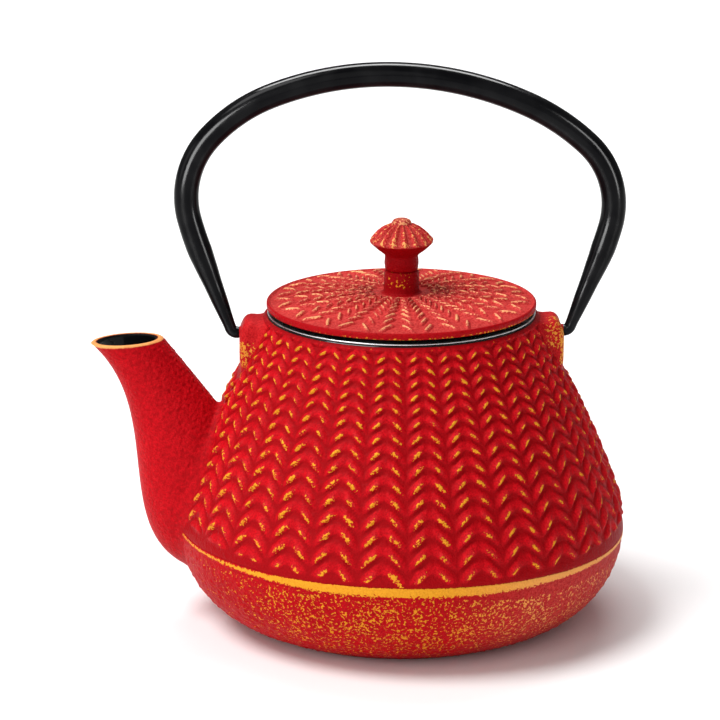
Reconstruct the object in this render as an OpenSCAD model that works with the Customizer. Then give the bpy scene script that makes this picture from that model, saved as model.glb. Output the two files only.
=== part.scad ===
// Cast iron teapot with a lift-off lid, a steel tea strainer and a swinging bail handle.
// Frame: origin at the centre of the flat foot, +Z up, spout towards -X, handle pivots along X.

/* [Pot] */
// Radius at the widest line of the belly
belly_r = 75; // [74:0.5:76]
// Height of the widest line above the foot
belly_z = 31; // [30.5:0.25:31.5]
// Radius of the rounded bowl under the widest line
bowl_arc_r = 31.5; // [31.5:0.25:32]
// Radius of the turn above the widest line
waist_arc_r = 38; // [36:1:40]
// Radius of the long, nearly straight wall above it
wall_arc_r = 340; // [320:10:360]
// Lean of the wall where the long arc starts, in degrees
lean_low = 20.5; // [20:0.25:21]
// Lean of the wall below the mouth, in degrees
lean_high = 25.9; // [25.5:0.1:26.5]
// Thickness of the cast wall
wall_t = 3.2; // [2.8:0.1:3.6]
// Thickness of the cast floor
floor_t = 4; // [3.5:0.25:5]
// Height of the top of the cast mouth
mouth_z = 103.1; // [102.9:0.1:103.3]
// Thickness of the fired enamel
enamel_t = 0.4; // [0.3:0.05:0.6]

/* [Spout] */
// Half length of the oval mouth, along X
spout_tip_half = 12; // [11.5:0.25:12.5]
// Radius of the spout's mouth across Y
spout_tip_r = 9; // [8.5:0.25:9.5]
// Half width of the spout at its root
spout_root_r = 21; // [20:0.5:22]
// Wall of the spout at its mouth
spout_tip_wall = 1.9; // [1.6:0.1:2.2]
// Wall of the spout at its root
spout_root_wall = 3.2; // [3:0.1:3.6]
// Radius of the hole through the pot wall behind the spout
port_r = 11; // [9:0.5:12]

/* [Lugs] */
// Distance of each lug's outer face from the axis
lug_x = 53.9; // [53.7:0.1:54]
// Width of each lug along Y
lug_w = 16; // [14:0.5:18]
// Height of the lugs' top ridge
lug_z = 102.9; // [102.4:0.1:103]
// Height of the pivot line of the handle
pivot_z = 97.3; // [97:0.1:97.5]

/* [Handle] */
// Radius of the handle tube
tube_r = 4.1; // [3.8:0.1:4.3]
// Radius of the hook pins
pin_r = 1.7; // [1.5:0.05:1.7]
// Running clearance round each pin
pin_gap = 0.05; // [0.02:0.01:0.08]
// Highest point of the handle's centre line
crown_z = 183.9; // [183:0.1:185]
// Offset of the highest point from the axis, towards the spout
crown_x = -5.4; // [-5.4:0.1:-5.2]

/* [Lid] */
// Radius of the lid
lid_r = 44.8; // [44.6:0.1:45]
// Height of the lid's crown above the foot
lid_top_z = 111.5; // [111:0.25:112]
// Radius of the knob's cap
knob_r = 10.5; // [10:0.25:11]
// Radius of the steam hole
vent_r = 1.5; // [1.2:0.1:1.8]

/* [Strainer] */
// Outer radius of the steel flange
flange_r = 44.5; // [44:0.1:44.6]
// Thickness of the flange
flange_t = 0.8; // [0.7:0.05:0.9]
// Outer radius of the strainer's collar
collar_r = 37.4; // [37:0.1:37.6]
// Height of the strainer's underside
strainer_z = 42; // [40:1:46]

/* [Hidden] */
$fn = 64;

cast_red = [0.72, 0.07, 0.09];
enamel_black = [0.06, 0.06, 0.07];
steel = [0.78, 0.79, 0.80];
satin_black = [0.10, 0.10, 0.11];

sheet_t = 0.6;                       // mesh and perforated sheet of the strainer
mouth_r = 38.5;                      // clear radius of the enamelled mouth
mouth_lip_t = 3;                     // height of the inward ledge at the mouth
rim_z = mouth_z + 0.7;               // top of the enamel on the mouth
seat_z = rim_z + flange_t;           // top of the steel flange, where the lid sits
port_z = 40;                         // height of the hole behind the spout
lid_edge_z = seat_z + 3.5;           // top of the lid's edge
skirt_r = 35.4;                      // outer radius of the lid's locating skirt
skirt_z = seat_z - 5.4;              // lower end of the skirt
skirt_t = 3.1;                       // thickness of the skirt
boss_r = 5.9;                        // boss in the middle of the lid
boss_z = lid_top_z + 6.8;            // where the knob meets the boss
screw_r = 2;                         // shank of the knob's screw
lid_under_z = lid_top_z - 3.3;       // underside of the lid at its middle
pin_end_x = 50.6;                    // inner end of each hook pin
bend_r = 2.2;                        // bend between a leg and its pin
neck_r = 1.95;                       // tube radius in that bend

// Arcs of the handle from its crown outwards: [radius, degrees].
arcs_right = [[112, 25], [73, 18.5], [28, 61.5], [110, 7]];
arcs_left = [[104, 21], [54, 26.5], [29.5, 57], [110, 6]];

// Points along a circular arc in the profile plane.
function arc(cx, cz, r, a0, a1, n) =
    [for (i = [0:n]) let (a = a0 + (a1 - a0) * i / n) [cx + r * cos(a), cz + r * sin(a)]];

function reversed(list) = [for (i = [len(list) - 1:-1:0]) list[i]];

// End of the waist arc and of the long arc, as seen on the outside of the pot.
waist_end = [belly_r - waist_arc_r + waist_arc_r * cos(lean_low), belly_z + waist_arc_r * sin(lean_low)];
wall_centre = waist_end - wall_arc_r * [cos(lean_low), sin(lean_low)];

// Radius of the straight wall below the mouth, for a surface lying `inset` inside the outside.
function wall_end(inset) = wall_centre + (wall_arc_r - inset) * [cos(lean_high), sin(lean_high)];
function wall_radius(z, inset) = let (e = wall_end(inset)) e[0] - (z - e[1]) * tan(lean_high);

// Profile of the pot from height z0 to height z1, lying `inset` inside the outside.
function pot_profile(inset, z0, z1) = concat(
    arc(belly_r - bowl_arc_r, belly_z, bowl_arc_r - inset,
        -asin((belly_z - z0) / (bowl_arc_r - inset)), 0, 9),
    arc(belly_r - waist_arc_r, belly_z, waist_arc_r - inset, lean_low / 4, lean_low, 3),
    arc(wall_centre[0], wall_centre[1], wall_arc_r - inset, lean_low + 1.8, lean_high, 2),
    [[wall_radius(z1, inset), z1]]);

module turned(points) rotate_extrude() polygon(points);

// The pot's outside as one filled solid, used to fit the spout and the lugs to it.
module pot_outside() turned(concat([[0, 0]], pot_profile(0, 0, mouth_z), [[0, mouth_z]]));

module spout_port() translate([-belly_r - 5, 0, port_z]) rotate([0, 90, 0]) cylinder(r = port_r, h = 30);

module pot_body() color(cast_red) difference() {
    turned(concat([[0, 0]], pot_profile(0, 0, mouth_z),
        [[mouth_r + enamel_t, mouth_z], [mouth_r + enamel_t, mouth_z - mouth_lip_t]],
        reversed(pot_profile(wall_t, floor_t, mouth_z - mouth_lip_t)), [[0, floor_t]]));
    spout_port();
}

module enamel_lining() color(enamel_black) difference() {
    turned(concat([[0, floor_t]], pot_profile(wall_t, floor_t, mouth_z - mouth_lip_t),
        [[mouth_r + enamel_t, mouth_z - mouth_lip_t], [mouth_r + enamel_t, mouth_z],
         [wall_radius(mouth_z, 0.3), mouth_z], [wall_radius(mouth_z, 0.3), rim_z],
         [mouth_r, rim_z], [mouth_r, mouth_z - mouth_lip_t - enamel_t]],
        reversed(pot_profile(wall_t + enamel_t, floor_t + enamel_t, mouth_z - mouth_lip_t - enamel_t)),
        [[0, floor_t + enamel_t]]));
    spout_port();
}

// Lower and upper edge of the spout's outline, as cubic curves from root (0) to mouth (1).
mouth_mid = [-91.2, 94.9];
tip_slope = 0.06;
edge_low = [[-63.8, 14], [-102.8, 21.7], [-75.8, 68.6], mouth_mid + spout_tip_half * [-1, -tip_slope]];
edge_high = [[-50, 58], [-55, 64], [-69, 83], mouth_mid + spout_tip_half * [1, tip_slope]];
function cubic(p, t) = pow(1 - t, 3) * p[0] + 3 * pow(1 - t, 2) * t * p[1]
    + 3 * (1 - t) * t * t * p[2] + pow(t, 3) * p[3];
function spout_half_width(t) = spout_tip_r + (spout_root_r - spout_tip_r) * pow(1 - t, 1.5);
function spout_wall(t) = spout_tip_wall + (spout_root_wall - spout_tip_wall) * (1 - t);

// One oval section of the spout at t, lying `inset` times the local wall inside the outside.
function spout_ring(t, inset, sides) = let (low = cubic(edge_low, t), high = cubic(edge_high, t),
    mid = (low + high) / 2, half = (high - low) / 2,
    long = 1 - inset * spout_wall(t) * 1.25 / norm(half), wide = spout_half_width(t) - inset * spout_wall(t))
    [for (i = [0:sides - 1]) let (a = 360 * i / sides)
        [mid[0] + half[0] * long * cos(a), wide * sin(a), mid[1] + half[1] * long * cos(a)]];

// Closed solid through the spout's sections; `beyond` lengthens it past the mouth.
module spout_core(inset, beyond, steps = 14, sides = 28) {
    rings = [for (k = [0:steps]) spout_ring(k / steps, inset, sides)];
    last = [for (p = rings[steps]) p + beyond * [-0.5, 0, 0.8]];
    all_rings = beyond > 0 ? concat(rings, [last]) : rings;
    n = len(all_rings);
    points = [for (r = all_rings) for (p = r) p];
    sides_faces = [for (k = [0:n - 2]) for (i = [0:sides - 1]) let (j = (i + 1) % sides)
        for (f = [[k * sides + j, k * sides + i, (k + 1) * sides + i],
                  [(k + 1) * sides + j, k * sides + j, (k + 1) * sides + i]]) f];
    polyhedron(points, concat([[for (i = [0:sides - 1]) i]], sides_faces,
        [[for (i = [sides - 1:-1:0]) (n - 1) * sides + i]]));
}

module spout() color(cast_red) difference() {
    spout_core(0, 0);
    spout_core(1, 2);
    pot_outside();
}

// Lug on the +X side: a rounded block standing on the sloping wall, bored for the hook pin.
module lug_block() difference() {
    intersection() {
        rotate([90, 0, 0]) linear_extrude(lug_w, center = true) polygon(concat(
            [[40, 84], [lug_x, 84], [lug_x, pivot_z + 2]],
            arc(lug_x - 3.2, lug_z - 2.2, 2.2, 20, 100, 5),
            [[lug_x - 7, lug_z - 1], [40, lug_z - 1.1]]));
        linear_extrude(110) union() {
            translate([40, -lug_w / 2]) square([lug_x - 43, lug_w]);
            translate([40, -lug_w / 2 + 3]) square([lug_x - 40, lug_w - 6]);
            for (side = [-1, 1]) translate([lug_x - 3, side * (lug_w / 2 - 3)]) circle(3);
        }
    }
    pot_outside();
    translate([pin_end_x - 0.3, 0, pivot_z]) rotate([0, 90, 0]) cylinder(r = pin_r + pin_gap, h = 10);
}

module handle_lug_left() color(cast_red) mirror([1, 0, 0]) lug_block();
module handle_lug_right() color(cast_red) lug_block();

// Place and heading at the end of the first n arcs, from the crown: [x, z, degrees turned].
function run(arcs, x, n) = n == 0 ? [x, crown_z, 0] : let (before = run(arcs, x, n - 1))
    along(before, arcs[n - 1][0], arcs[n - 1][1]);
function along(from, r, sweep) = let (h = from[2], g = h + sweep)
    [from[0] + r * (sin(g) - sin(h)), from[1] + r * (cos(g) - cos(h)), g];

// Stations of half the handle on the +X side, crown first: [x, z, degrees turned, radius].
function half_stations(arcs, x) = let (leg = run(arcs, x, len(arcs)),
    foot_z = pivot_z + bend_r * (1 + cos(leg[2])),
    foot = [leg[0] + (leg[1] - foot_z) / tan(leg[2]), foot_z, leg[2]])
    concat([for (n = [0:len(arcs) - 1]) let (from = run(arcs, x, n), steps = ceil(arcs[n][1] / 7))
            for (k = [0:steps - 1]) concat(along(from, arcs[n][0], arcs[n][1] * k / steps), tube_r)],
        [concat(leg, tube_r)],
        [for (k = [0:6]) concat(along(foot, bend_r, (180 - leg[2]) * k / 6), neck_r)]);

// Closed tube through stations given from one hook to the other.
module tube_through(stations, sides = 20) {
    n = len(stations);
    points = [for (s = stations) for (i = [0:sides - 1]) let (a = 360 * i / sides, out = s[3] * cos(a))
        [s[0] + out * sin(s[2]), s[3] * sin(a), s[1] + out * cos(s[2])]];
    side_faces = [for (k = [0:n - 2]) for (i = [0:sides - 1]) let (j = (i + 1) % sides)
        for (f = [[k * sides + i, k * sides + j, (k + 1) * sides + i],
                  [k * sides + j, (k + 1) * sides + j, (k + 1) * sides + i]]) f];
    polyhedron(points, concat([[for (i = [sides - 1:-1:0]) i]], side_faces,
        [[for (i = [0:sides - 1]) (n - 1) * sides + i]]));
}

// Pin of one hook, rooted a little way inside the bend.
module hook_pin(stations) {
    start_x = stations[len(stations) - 1][0] + 0.6;
    translate([pin_end_x, 0, pivot_z]) rotate([0, 90, 0]) cylinder(r = pin_r, h = start_x - pin_end_x);
}

module handle() color(satin_black) {
    right = half_stations(arcs_right, crown_x);
    left = half_stations(arcs_left, -crown_x);
    left_mirrored = [for (s = reversed(left)) [-s[0], s[1], -s[2], s[3]]];
    tube_through(concat([for (k = [0:len(left) - 2]) left_mirrored[k]], right));
    hook_pin(right);
    mirror([1, 0, 0]) hook_pin(left);
}

// Top of the lid: a shallow dome through the lid's crown and its edge.
dome_rise = lid_top_z - lid_edge_z;
dome_r = (pow(lid_r - 0.5, 2) + pow(dome_rise, 2)) / (2 * dome_rise);
dome_edge = asin((lid_r - 0.5) / dome_r);
dome_boss = asin((boss_r + 2) / dome_r);

module lid() color(cast_red) difference() {
    turned(concat(
        [[0, lid_under_z], [boss_r + 1, lid_under_z], [30.5, lid_under_z - 1.6],
         [skirt_r - skirt_t, lid_under_z - 2.6],
         [skirt_r - skirt_t, skirt_z + 0.5], [skirt_r - skirt_t + 0.5, skirt_z],
         [skirt_r - 0.5, skirt_z], [skirt_r, skirt_z + 0.5], [skirt_r, seat_z],
         [41.5, seat_z], [42.5, seat_z + 1.3], [lid_r - 0.5, seat_z + 1.3], [lid_r, seat_z + 1.8],
         [lid_r, lid_edge_z - 0.5]],
        [for (i = [0:8]) let (a = 90 - dome_edge + (dome_edge - dome_boss) * i / 8)
            [dome_r * cos(a), lid_top_z - dome_r + dome_r * sin(a)]],
        arc(boss_r + 2, lid_top_z + 2, 2, 255, 180, 4),
        [[boss_r - 0.3, boss_z - 0.5], [boss_r - 1, boss_z], [0, boss_z]]));
    translate([20.8, 4, lid_under_z - 5]) cylinder(r = vent_r, h = 12);
    translate([0, 0, lid_under_z - 1]) cylinder(r = screw_r + 0.2, h = 20);
}

knob_cap_z = boss_z + 10;            // widest line of the knob's cap
knob_top_z = boss_z + 17.5;

module lid_knob() color(cast_red) difference() {
    turned(concat([[0, boss_z], [4.7, boss_z], [5.4, boss_z + 0.6]],
        [[5.7, boss_z + 2.6], [5.4, boss_z + 4.9], [6.4, boss_z + 6], [knob_r - 1, knob_cap_z - 1.2]],
        arc(knob_r - 1.1, knob_cap_z, 1.1, -60, 60, 4),
        arc(0, knob_cap_z - 3.6, 9.8, 28, 70, 5),
        [[3.2, knob_top_z - 1.4]], arc(0, knob_top_z - 4.2, 4.2, 48, 90, 4)));
    translate([0, 0, boss_z - 1]) cylinder(r = screw_r, h = 9);
}

washer_z = lid_under_z - 0.8;
module knob_washer() color(steel) translate([0, 0, washer_z]) difference() {
    cylinder(r = 5.5, h = 0.8);
    translate([0, 0, -1]) cylinder(r = screw_r + 0.2, h = 3);
}

module knob_screw() color(steel) difference() {
    union() {
        translate([0, 0, washer_z - 2.2]) cylinder(r = 3.8, h = 2.2);
        translate([0, 0, washer_z - 1]) cylinder(r = screw_r, h = boss_z + 7.5 - washer_z + 1);
    }
    for (turn = [0, 90]) rotate([0, 0, turn])
        translate([-2.2, -0.45, washer_z - 3]) cube([4.4, 0.9, 2.1]);
}

module infuser_rim() color(steel) turned([
    [collar_r - flange_t, seat_z - 11], [collar_r, seat_z - 11], [collar_r, rim_z - 0.8],
    [collar_r + 0.8, rim_z], [flange_r - 0.2, rim_z], [flange_r, rim_z + 0.2], [flange_r, seat_z - 0.2],
    [flange_r - 0.2, seat_z], [collar_r + 0.4, seat_z], [collar_r - flange_t, seat_z - 1.2]]);

module infuser_wall() color(steel) translate([0, 0, strainer_z + flange_t]) difference() {
    cylinder(r = collar_r - flange_t, h = seat_z - 8 - strainer_z);
    translate([0, 0, -1]) cylinder(r = collar_r - flange_t - sheet_t, h = seat_z);
}

module infuser_foot_ring() color(steel) turned([
    [collar_r - 4.5, strainer_z], [collar_r - 0.5, strainer_z], [collar_r, strainer_z + 0.5],
    [collar_r, strainer_z + 6], [collar_r - flange_t, strainer_z + 6],
    [collar_r - flange_t, strainer_z + flange_t], [collar_r - 4.5, strainer_z + flange_t]]);

module infuser_floor() color(steel) translate([0, 0, strainer_z + flange_t])
    cylinder(r = collar_r - flange_t - sheet_t, h = sheet_t);

pot_body();
enamel_lining();
spout();
handle_lug_left();
handle_lug_right();
handle();
lid();
lid_knob();
knob_screw();
knob_washer();
infuser_rim();
infuser_wall();
infuser_foot_ring();
infuser_floor();
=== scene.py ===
import math
import bpy
import numpy as np
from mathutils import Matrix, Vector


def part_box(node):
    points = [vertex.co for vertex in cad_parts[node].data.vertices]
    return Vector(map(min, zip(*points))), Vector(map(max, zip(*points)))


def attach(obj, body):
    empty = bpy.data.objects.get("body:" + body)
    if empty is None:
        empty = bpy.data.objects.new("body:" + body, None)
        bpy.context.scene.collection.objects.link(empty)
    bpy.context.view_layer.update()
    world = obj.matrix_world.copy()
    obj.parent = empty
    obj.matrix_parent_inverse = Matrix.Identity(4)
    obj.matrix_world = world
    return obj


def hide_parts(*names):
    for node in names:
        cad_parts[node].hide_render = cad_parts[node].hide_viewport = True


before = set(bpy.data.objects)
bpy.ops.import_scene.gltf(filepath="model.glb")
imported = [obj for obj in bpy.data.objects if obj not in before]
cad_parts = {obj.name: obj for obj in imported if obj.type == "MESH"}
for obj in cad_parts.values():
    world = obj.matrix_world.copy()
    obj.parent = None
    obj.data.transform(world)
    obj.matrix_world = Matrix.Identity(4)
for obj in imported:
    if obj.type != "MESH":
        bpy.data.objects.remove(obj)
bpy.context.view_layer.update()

mm = 0.001
tau = 2 * math.pi
scene = bpy.context.scene


# highest corner of a node, in millimetres
def topCorner(nodeName):
    return np.array(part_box(nodeName)[1]) / mm


# 0 below `low`, 1 above `high` and an S curve between: t squared times (3 - 2t)
def smoothStep(low, high, value):
    t = np.clip((value - low) / (high - low), 0, 1)
    return t * t * (3 - 2 * t)


# sum of cosine waves in random directions, all about `size` millimetres long, with a spread of one
def grain(points, size, seed, waves=28):
    dice = np.random.default_rng(seed)
    heading = dice.normal(size=(3, waves))
    heading *= dice.uniform(0.75, 1.35, waves) * tau / size / np.linalg.norm(heading, axis=0)
    return np.cos(points @ heading + dice.uniform(0, tau, waves)).sum(-1) * math.sqrt(2 / waves)


# rough casting skin: grain of each [height, size, seed] added up
def castSkin(points, layers):
    return sum(height * grain(points, size, seed) for height, size, seed in layers)


# angles once round, `count` of them, starting at the front (-Y) and turning towards +X
def roundAngles(count):
    return np.linspace(0, tau, count, endpoint=False)


# points at a radius and a height for each azimuth: x = r sin(azimuth), y = -r cos(azimuth)
def polar(radius, azimuth, height):
    radius, azimuth, height = np.broadcast_arrays(radius, azimuth, height)
    return np.stack([radius * np.sin(azimuth), -radius * np.cos(azimuth), height], -1)


# a profile of [radius, height] points turned once round the Z axis
def turned(profile, count):
    profile = np.asarray(profile, float)
    return polar(profile[:, :1], roundAngles(count)[None, :], profile[:, 1:])


# points along a circular arc of the profile plane, angles in degrees
def arcPoints(centre, radius, start, end, count):
    angle = np.radians(np.linspace(start, end, count))
    return np.stack([centre[0] + radius * np.cos(angle), centre[1] + radius * np.sin(angle)], -1)


# outward normals of a profile that climbs on its outer side: the slope turned by a right angle
def profileNormals(radius, height):
    dr, dz = np.gradient(radius, axis=0), np.gradient(height, axis=0)
    length = np.hypot(dr, dz)
    return dz / length, -dr / length


# closed mesh from rings of points: each ring joins the next, and the ends are fans, or the last ring joins
# the first. A field is a number at each point that the materials read.
def ringPiece(name, rings, material, loop=False, flip=False, fields=None, sharp=38):
    rows, count = rings.shape[:2]
    index = np.arange(rows * count).reshape(rows, count)
    points = rings.reshape(-1, 3)
    lower = index if loop else index[:-1]
    upper = np.roll(index, -1, axis=0) if loop else index[1:]
    quads = np.stack([lower, np.roll(lower, -1, 1), np.roll(upper, -1, 1), upper], -1).reshape(-1, 4)
    fans = np.zeros((0, 3), int)
    if not loop:
        ends = np.array([rings[0].mean(0), rings[-1].mean(0)])
        first, last, start = index[0], index[-1], rows * count
        fans = np.concatenate([
            np.stack([np.full(count, start), np.roll(first, -1), first], -1),
            np.stack([np.full(count, start + 1), last, np.roll(last, -1)], -1)])
        points = np.concatenate([points, ends])
    if flip:
        quads, fans = quads[:, ::-1], fans[:, ::-1]
    mesh = bpy.data.meshes.new(name)
    mesh.from_pydata(points * mm, [], quads.tolist() + fans.tolist())
    for field, values in (fields or {}).items():
        spread = np.broadcast_to(values, (rows, count)).ravel()
        full = np.concatenate([spread, np.zeros(len(points) - rows * count)])
        mesh.attributes.new(field, "FLOAT", "POINT").data.foreach_set("value", full.astype(np.float32))
    mesh.materials.append(material)
    mesh.shade_smooth()
    mesh.set_sharp_from_angle(angle=math.radians(sharp))
    piece = bpy.data.objects.new(name, mesh)
    scene.collection.objects.link(piece)
    return piece


# cuts a straight round hole of a radius and length, centred on a point, through a closed piece
def drill(piece, centre, axis, radius, length, sides=48):
    axis = np.array(axis, float)
    side = np.cross(axis, [0.3, 0.5, 0.8])
    side /= np.linalg.norm(side)
    other = np.cross(axis, side)
    angle = roundAngles(sides)[:, None]
    ring = radius * (np.cos(angle) * side + np.sin(angle) * other)
    ends = [np.array(centre) + ring + axis * length * half for half in (-0.5, 0.5)]
    cutter = ringPiece(piece.name + "Drill", np.array(ends), piece.data.materials[0])
    cut = piece.modifiers.new("drill", "BOOLEAN")
    cut.object = cutter
    cut.solver = "MANIFOLD"
    depsgraph = bpy.context.evaluated_depsgraph_get()
    mesh = bpy.data.meshes.new_from_object(piece.evaluated_get(depsgraph))
    piece.modifiers.clear()
    piece.data = mesh
    bpy.data.objects.remove(cutter)


# a node material: each call adds one node and returns its output
class Recipe:
    def __init__(self, name):
        self.material = bpy.data.materials.new(name)
        self.material.use_nodes = True
        self.tree = self.material.node_tree
        self.shader = self.tree.nodes["Principled BSDF"]
        self.place = self.add("ShaderNodeTexCoord").outputs["Object"]

    def add(self, kind, **settings):
        made = self.tree.nodes.new(kind)
        for key, value in settings.items():
            setattr(made, key, value)
        return made

    def feed(self, socket, value):
        if isinstance(value, bpy.types.NodeSocket):
            self.tree.links.new(value, socket)
        else:
            socket.default_value = value

    def maths(self, operation, first, second=0.0, clamp=False):
        made = self.add("ShaderNodeMath", operation=operation, use_clamp=clamp)
        self.feed(made.inputs[0], first)
        self.feed(made.inputs[1], second)
        return made.outputs[0]

    def noise(self, size, detail=2.0, roughness=0.5, distortion=0.0, stretch=None):
        made = self.add("ShaderNodeTexNoise")
        place = self.place
        if stretch:
            mapping = self.add("ShaderNodeMapping")
            self.feed(mapping.inputs["Vector"], place)
            mapping.inputs["Scale"].default_value = stretch
            place = mapping.outputs[0]
        self.feed(made.inputs["Vector"], place)
        for socket, value in (("Scale", 1 / (size * mm)), ("Detail", detail), ("Roughness", roughness),
                              ("Distortion", distortion)):
            made.inputs[socket].default_value = value
        return made.outputs["Fac"]

    def field(self, name):
        return self.add("ShaderNodeAttribute", attribute_name=name).outputs["Fac"]

    def span(self, value, low, high, fromZero=0.0, toOne=1.0):
        made = self.add("ShaderNodeMapRange", interpolation_type="SMOOTHSTEP")
        for socket, number in zip(made.inputs[:5], (value, low, high, fromZero, toOne)):
            self.feed(socket, number)
        return made.outputs[0]

    def mix(self, factor, first, second):
        made = self.add("ShaderNodeMix", data_type="RGBA")
        self.feed(made.inputs[0], factor)
        self.feed(made.inputs[6], first)
        self.feed(made.inputs[7], second)
        return made.outputs[2]

    def bump(self, height, distance, strength=1.0, under=None):
        made = self.add("ShaderNodeBump")
        made.inputs["Strength"].default_value = strength
        made.inputs["Distance"].default_value = distance * mm
        self.feed(made.inputs["Height"], height)
        if under:
            self.feed(made.inputs["Normal"], under)
        return made.outputs[0]

    def finish(self, **sockets):
        for name, value in sockets.items():
            self.feed(self.shader.inputs[name.replace("_", " ")], value)
        return self.material


# colours of the lacquer and of the gold wiped over it
# the dark recess red is painted shade in the hollows and also the colour of random darker mottling; the ridge
# red is a painted highlight on ridge tops
lacquer = {
    "shadeAndMottleRed": (0.30, 0.0016, 0.004, 1), "red": (0.60, 0.0045, 0.0105, 1), "ridge": (0.66, 0.022, 0.026, 1),
    "gold": (0.60, 0.19, 0.010, 1), "paleGold": (0.80, 0.35, 0.022, 1),
    "paleRed": (0.66, 0.120, 0.095, 1), "greyPatch": (0.19, 0.06, 0.045, 1),
    "blush": (0.90, 0.38, 0.22, 1), "bare": (0.006, 0.006, 0.006, 1),
}


# red lacquer over cast iron. "height" is 0 in a recess and 1 on a ridge, and it also paints shade into the
# recesses with a dark red and a highlight on to the ridges with a lighter red. "rub" is where gold was wiped
# on, "ragged" how broken its edge is, "speckle" how much gold the grain took, "pale" how much paler the red
# and gold look, partly dust and partly painted sheen, the grey patch field where the red is darker and greyer,
# and "bare" where black iron shows.
def redLacquer():
    r = Recipe("redLacquer")
    fine = r.noise(0.6, 3, 0.65)
    medium = r.noise(1.3, 2, 0.55, 0.4)
    broad = r.noise(14, 2)
    height = r.field("height")
    ragged = r.maths("ADD", 1.4, r.maths("MULTIPLY", r.field("ragged"), 2.6))
    pebbles = r.noise(0.9, 1.5, 0.6, 0.5)
    rub = r.maths("ADD", r.field("rub"), r.maths("MULTIPLY", r.maths("SUBTRACT", pebbles, 0.5), ragged))
    rub = r.maths("ADD", rub, r.maths("MULTIPLY", r.maths("SUBTRACT", fine, 0.5), 1.3))
    rubbed = r.span(rub, 0.34, 0.46)
    density = r.maths("MULTIPLY", r.field("speckle"), r.span(r.noise(7, 2), 0.25, 0.75, 0.8, 1.15))
    specks = r.span(r.maths("ADD", pebbles, r.maths("MULTIPLY", density, 0.45)), 0.80, 0.85)
    gilded = r.maths("MAXIMUM", rubbed, specks)
    # painted shade and highlight: a low height field mixes towards the dark red, a high one towards the
    # lighter ridge red
    red = r.mix(r.span(height, 0.0, 0.55), lacquer["shadeAndMottleRed"], lacquer["red"])
    red = r.mix(r.span(height, 0.55, 1.0), red, lacquer["ridge"])
    red = r.mix(r.maths("MULTIPLY", r.span(broad, 0.35, 0.7), 0.25), red, lacquer["shadeAndMottleRed"])
    # paler red where the pale field is high: partly dust, partly painted sheen
    dustAndSheen = r.maths("MULTIPLY", r.field("pale"), r.span(fine, 0.2, 0.9, 0.55, 1.0))
    red = r.mix(dustAndSheen, red, lacquer["paleRed"])
    red = r.mix(r.maths("MULTIPLY", r.field("greyPatch"), r.span(medium, 0.35, 0.6)), red, lacquer["greyPatch"])
    red = r.mix(r.span(medium, 0.42, 0.62, 0.0, 0.25), red, lacquer["shadeAndMottleRed"])
    red = r.mix(r.span(fine, 0.56, 0.38, 0.0, 0.6), red, lacquer["shadeAndMottleRed"])
    # gold is paler where the rub is strongest, towards each mark's middle, and on the specks: partly a painted
    # highlight on the raised crests
    shine = r.maths("MAXIMUM", r.span(rub, 0.36, 0.70), r.maths("MULTIPLY", specks, 0.55))
    shine = r.maths("MULTIPLY", shine, r.span(fine, 0.25, 0.6, 0.45, 1.0))
    gold = r.mix(shine, lacquer["gold"], lacquer["paleGold"])
    red = r.mix(r.field("bare"), red, lacquer["bare"])
    # the pale field also pinks the gold: partly dust, partly painted sheen
    gold = r.mix(r.maths("MULTIPLY", r.field("pale"), 0.8), gold, lacquer["blush"])
    roughness = r.maths("ADD", 0.40, r.maths("MULTIPLY", fine, 0.16))
    relief = r.bump(r.maths("ADD", r.maths("MULTIPLY", pebbles, 0.8), medium), 0.30, 0.9)
    relief = r.bump(fine, 0.12, 0.8, relief)
    return r.finish(Base_Color=r.mix(gilded, red, gold), Metallic=r.maths("MULTIPLY", gilded, 0.25),
                    Roughness=roughness, Normal=relief, IOR=1.13)


# fired black enamel: glassy, with a faint ripple
def blackEnamel():
    r = Recipe("blackEnamel")
    ripple = r.noise(5, 2)
    colour = r.mix(r.noise(0.5, 2), (0.004, 0.004, 0.0045, 1), (0.012, 0.012, 0.013, 1))
    return r.finish(Base_Color=colour, Roughness=r.span(ripple, 0.3, 0.7, 0.10, 0.2),
                    Normal=r.bump(ripple, 0.12, 0.35), Specular_IOR_Level=0.45)


# satin black paint on the bail: fine orange peel, a little greyer in broad patches
def blackPaint():
    r = Recipe("blackPaint")
    peel = r.noise(0.8, 2, 0.5)
    colour = r.mix(r.span(r.noise(9, 3), 0.35, 0.7), (0.0004, 0.0004, 0.0005, 1), (0.001, 0.001, 0.0011, 1))
    return r.finish(Base_Color=colour, Roughness=r.span(r.noise(4, 3), 0.3, 0.7, 0.13, 0.19),
                    Normal=r.bump(peel, 0.02, 0.4), IOR=1.15)


# polished steel sheet with faint turning lines
def brightSteel():
    r = Recipe("brightSteel")
    lines = r.noise(0.35, 2, 0.5, 0, (0.04, 0.04, 1.0))
    colour = r.mix(lines, (0.56, 0.57, 0.58, 1), (0.78, 0.79, 0.80, 1))
    return r.finish(Base_Color=colour, Metallic=1.0, Roughness=r.span(lines, 0.3, 0.7, 0.22, 0.32),
                    Normal=r.bump(lines, 0.01, 0.3))


# the strainer's holes: length of one wave, and how many waves go round the wall
perforated = {"wave": 1.7, "wavesRound": 136}


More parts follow.
